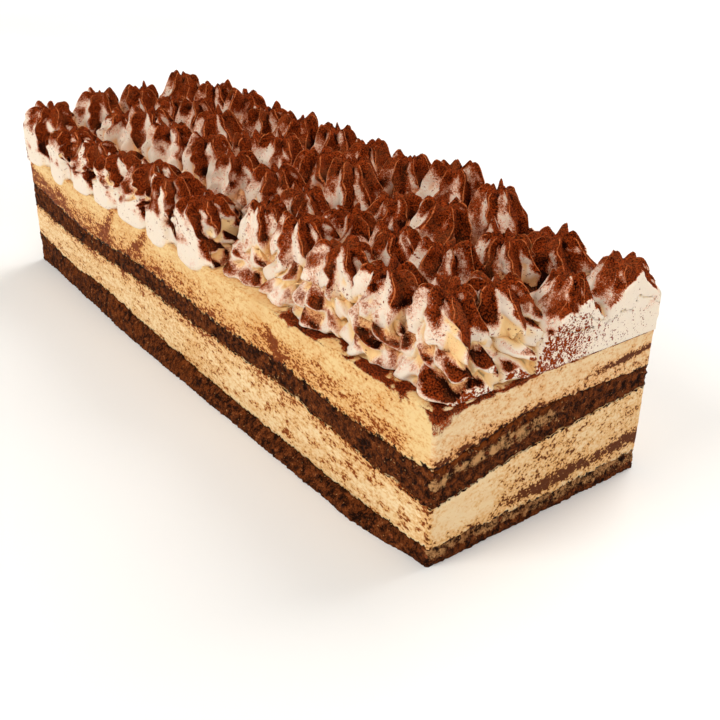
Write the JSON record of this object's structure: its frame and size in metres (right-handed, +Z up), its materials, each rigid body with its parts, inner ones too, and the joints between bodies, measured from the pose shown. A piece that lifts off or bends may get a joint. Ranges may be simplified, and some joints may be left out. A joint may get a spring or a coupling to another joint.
{
  "type": "tiramisu cake slab",
  "caption": "Long rectangular tiramisu cut from a tray: coffee-soaked sponge and coffee cream in layers, topped with rows of piped cream rosettes dusted with cocoa.",
  "frame": {"origin": "middle of the flat underside", "axes": "+X along the slab towards its cut end, +Y from the long front face to the back, +Z up"},
  "size_m": [0.3, 0.094, 0.0866],
  "materials": {
    "soaked_sponge": "damp open crumb",
    "lower_coffee_cream": "soft matte, cut",
    "upper_coffee_cream": "soft matte, cut",
    "piped_cream": "soft satin, dusted with cocoa"
  },
  "bodies": {
    "root": {"base_sponge": "soaked_sponge", "lower_cream": "lower_coffee_cream", "middle_sponge": "soaked_sponge", "upper_cream": "upper_coffee_cream", "rosette_1_1": "piped_cream", "rosette_1_2": "piped_cream", "rosette_1_3": "piped_cream", "rosette_1_4": "piped_cream", "rosette_1_5": "piped_cream", "rosette_1_6": "piped_cream", "rosette_1_7": "piped_cream", "rosette_1_8": "piped_cream", "rosette_1_9": "piped_cream", "rosette_1_10": "piped_cream", "rosette_1_11": "piped_cream", "rosette_1_12": "piped_cream", "rosette_2_1": "piped_cream", "rosette_2_2": "piped_cream", "rosette_2_3": "piped_cream", "rosette_2_4": "piped_cream", "rosette_2_5": "piped_cream", "rosette_2_6": "piped_cream", "rosette_2_7": "piped_cream", "rosette_2_8": "piped_cream", "rosette_2_9": "piped_cream", "rosette_2_10": "piped_cream", "rosette_2_11": "piped_cream", "rosette_2_12": "piped_cream", "rosette_3_1": "piped_cream", "rosette_3_2": "piped_cream", "rosette_3_3": "piped_cream", "rosette_3_4": "piped_cream", "rosette_3_5": "piped_cream", "rosette_3_6": "piped_cream", "rosette_3_7": "piped_cream", "rosette_3_8": "piped_cream", "rosette_3_9": "piped_cream", "rosette_3_10": "piped_cream", "rosette_3_11": "piped_cream", "rosette_3_12": "piped_cream", "rosette_4_1": "piped_cream", "rosette_4_2": "piped_cream", "rosette_4_3": "piped_cream", "rosette_4_4": "piped_cream", "rosette_4_5": "piped_cream", "rosette_4_6": "piped_cream", "rosette_4_7": "piped_cream", "rosette_4_8": "piped_cream", "rosette_4_9": "piped_cream", "rosette_4_10": "piped_cream", "rosette_4_11": "piped_cream", "rosette_4_12": "piped_cream"}
  },
  "joints": []
}
